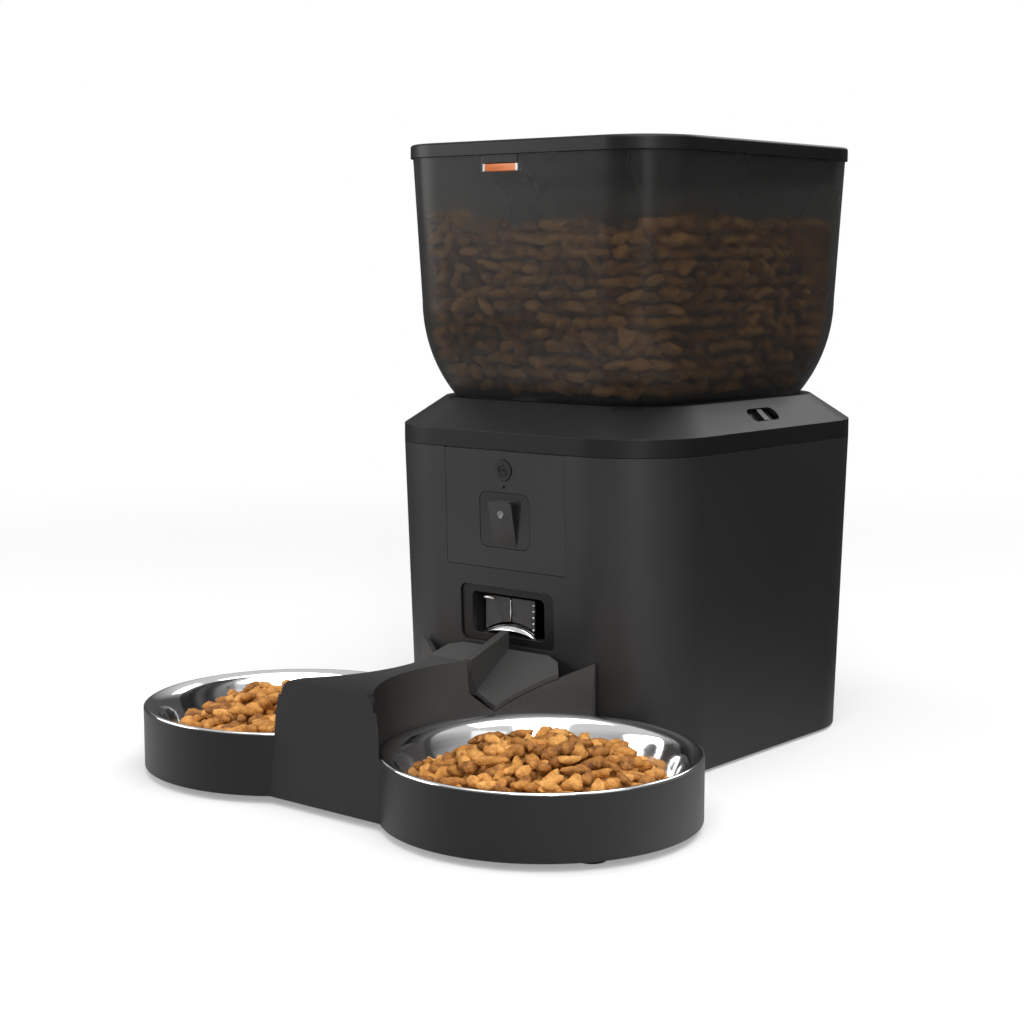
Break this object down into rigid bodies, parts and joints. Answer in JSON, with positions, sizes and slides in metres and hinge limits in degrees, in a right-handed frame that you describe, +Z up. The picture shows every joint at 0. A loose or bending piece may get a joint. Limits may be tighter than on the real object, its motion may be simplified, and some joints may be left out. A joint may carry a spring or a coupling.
{
  "type": "automatic pet feeder",
  "caption": "Automatic dry-food pet feeder: tinted lift-off hopper on a rounded column with a metering rotor, and a pull-out tray that splits each portion into steel bowls.",
  "frame": {"origin": "bottom centre of the bounding box, on the floor under the feeder", "axes": "+Z up, -Y towards the bowls (the front), +X to the right as seen from the front"},
  "size_m": [0.3146, 0.3603, 0.3173],
  "materials": {
    "black_plastic": "satin moulded ABS, fine texture",
    "gloss_black_plastic": "smooth satin ABS",
    "inner_black_plastic": "plain moulded",
    "smoked_clear_plastic": "smoked translucent, lightly frosted",
    "orange_plastic": "satin",
    "white_plastic": "plain moulded",
    "grey_plastic": "plain moulded",
    "polished_steel": "polished",
    "machined_steel": "machined",
    "rubber": "soft moulded",
    "desiccant_fabric": "non-woven",
    "circuit_board": "solder resist",
    "component_black": "plain moulded",
    "lens_plastic": "translucent",
    "cell_jacket": "printed sleeve, no text",
    "contact_metal": "plated"
  },
  "bodies": {
    "base": {"main_housing": "black_plastic", "top_cover": "black_plastic", "base_plate": "black_plastic", "base_screws": "machined_steel", "base_feet": "rubber", "speaker": "inner_black_plastic", "power_inlet": "inner_black_plastic", "battery_box": "inner_black_plastic", "battery_door": "black_plastic", "backup_batteries": "cell_jacket", "battery_contacts": "contact_metal", "metering_chamber": "inner_black_plastic", "chamber_screws": "machined_steel", "shield_plate": "inner_black_plastic", "gearbox": "grey_plastic", "drive_motor": "machined_steel", "motor_bracket": "machined_steel", "bracket_screws": "machined_steel", "food_chute": "inner_black_plastic", "chute_lip": "polished_steel", "chute_sensors": "component_black", "front_panel": "gloss_black_plastic", "control_board": "circuit_board", "button_switches": "component_black", "microphone": "inner_black_plastic", "board_screws": "machined_steel", "outlet_bezel": "black_plastic"},
    "rotor": {"food_rotor": "grey_plastic", "rotor_shaft": "machined_steel", "stirrer": "grey_plastic", "rotor_gear": "white_plastic"},
    "pinion": {"motor_pinion": "white_plastic", "motor_shaft": "machined_steel"},
    "round_button": {"round_button": "gloss_black_plastic"},
    "feed_button": {"feed_button": "gloss_black_plastic", "status_lens": "lens_plastic"},
    "lock": {"hopper_lock": "inner_black_plastic"},
    "hopper": {"hopper": "smoked_clear_plastic"},
    "lid": {"lid": "black_plastic", "lid_gasket": "rubber", "desiccant_box": "white_plastic", "desiccant_bag": "desiccant_fabric"},
    "latch": {"lid_latch": "orange_plastic"},
    "tray": {"bowl_tray": "black_plastic", "tray_feet": "rubber"},
    "splitter": {"food_splitter": "black_plastic"},
    "left_bowl": {"left_bowl": "polished_steel"},
    "right_bowl": {"right_bowl": "polished_steel"}
  },
  "joints": [
    {"name": "rotor_spin", "type": "hinge", "parent": "base", "child": "rotor", "pos_m": [0, 0.07265, 0.14], "axis": [0, 0, 1], "continuous": true},
    {"name": "pinion_spin", "type": "hinge", "parent": "base", "child": "pinion", "pos_m": [0, 0.10715, 0.112], "axis": [0, 0, 1], "continuous": true},
    {"name": "round_button_press", "type": "slide", "parent": "base", "child": "round_button", "axis": [0, 0.9994, 0.0342], "range_m": [0, 0.001], "stiffness_N_per_m": 400},
    {"name": "feed_button_press", "type": "slide", "parent": "base", "child": "feed_button", "axis": [0, 0.9994, 0.0342], "range_m": [0, 0.0015], "stiffness_N_per_m": 400},
    {"name": "hopper_lock_slide", "type": "slide", "parent": "base", "child": "lock", "axis": [0, 1, 0], "range_m": [-0.007, 0.007]},
    {"name": "hopper_lift", "type": "slide", "parent": "base", "child": "hopper", "axis": [0, 0, 1], "range_m": [0, 0.045]},
    {"name": "lid_lift", "type": "slide", "parent": "hopper", "child": "lid", "axis": [0, 0, 1], "range_m": [0, 0.06]},
    {"name": "latch_press", "type": "slide", "parent": "lid", "child": "latch", "axis": [0, 1, 0], "range_m": [0, 0.002], "stiffness_N_per_m": 300},
    {"name": "tray_pull", "type": "slide", "parent": "base", "child": "tray", "axis": [0, -1, 0], "range_m": [0, 0.04]},
    {"name": "splitter_lift", "type": "slide", "parent": "tray", "child": "splitter", "axis": [0, 0, 1], "range_m": [0, 0.03]},
    {"name": "left_bowl_lift", "type": "slide", "parent": "tray", "child": "left_bowl", "axis": [0, 0, 1], "range_m": [0, 0.04]},
    {"name": "right_bowl_lift", "type": "slide", "parent": "tray", "child": "right_bowl", "axis": [0, 0, 1], "range_m": [0, 0.04]}
  ],
  "couplings": [
    {"joint": "pinion_spin", "follows": "rotor_spin", "ratio": -2.8333}
  ]
}
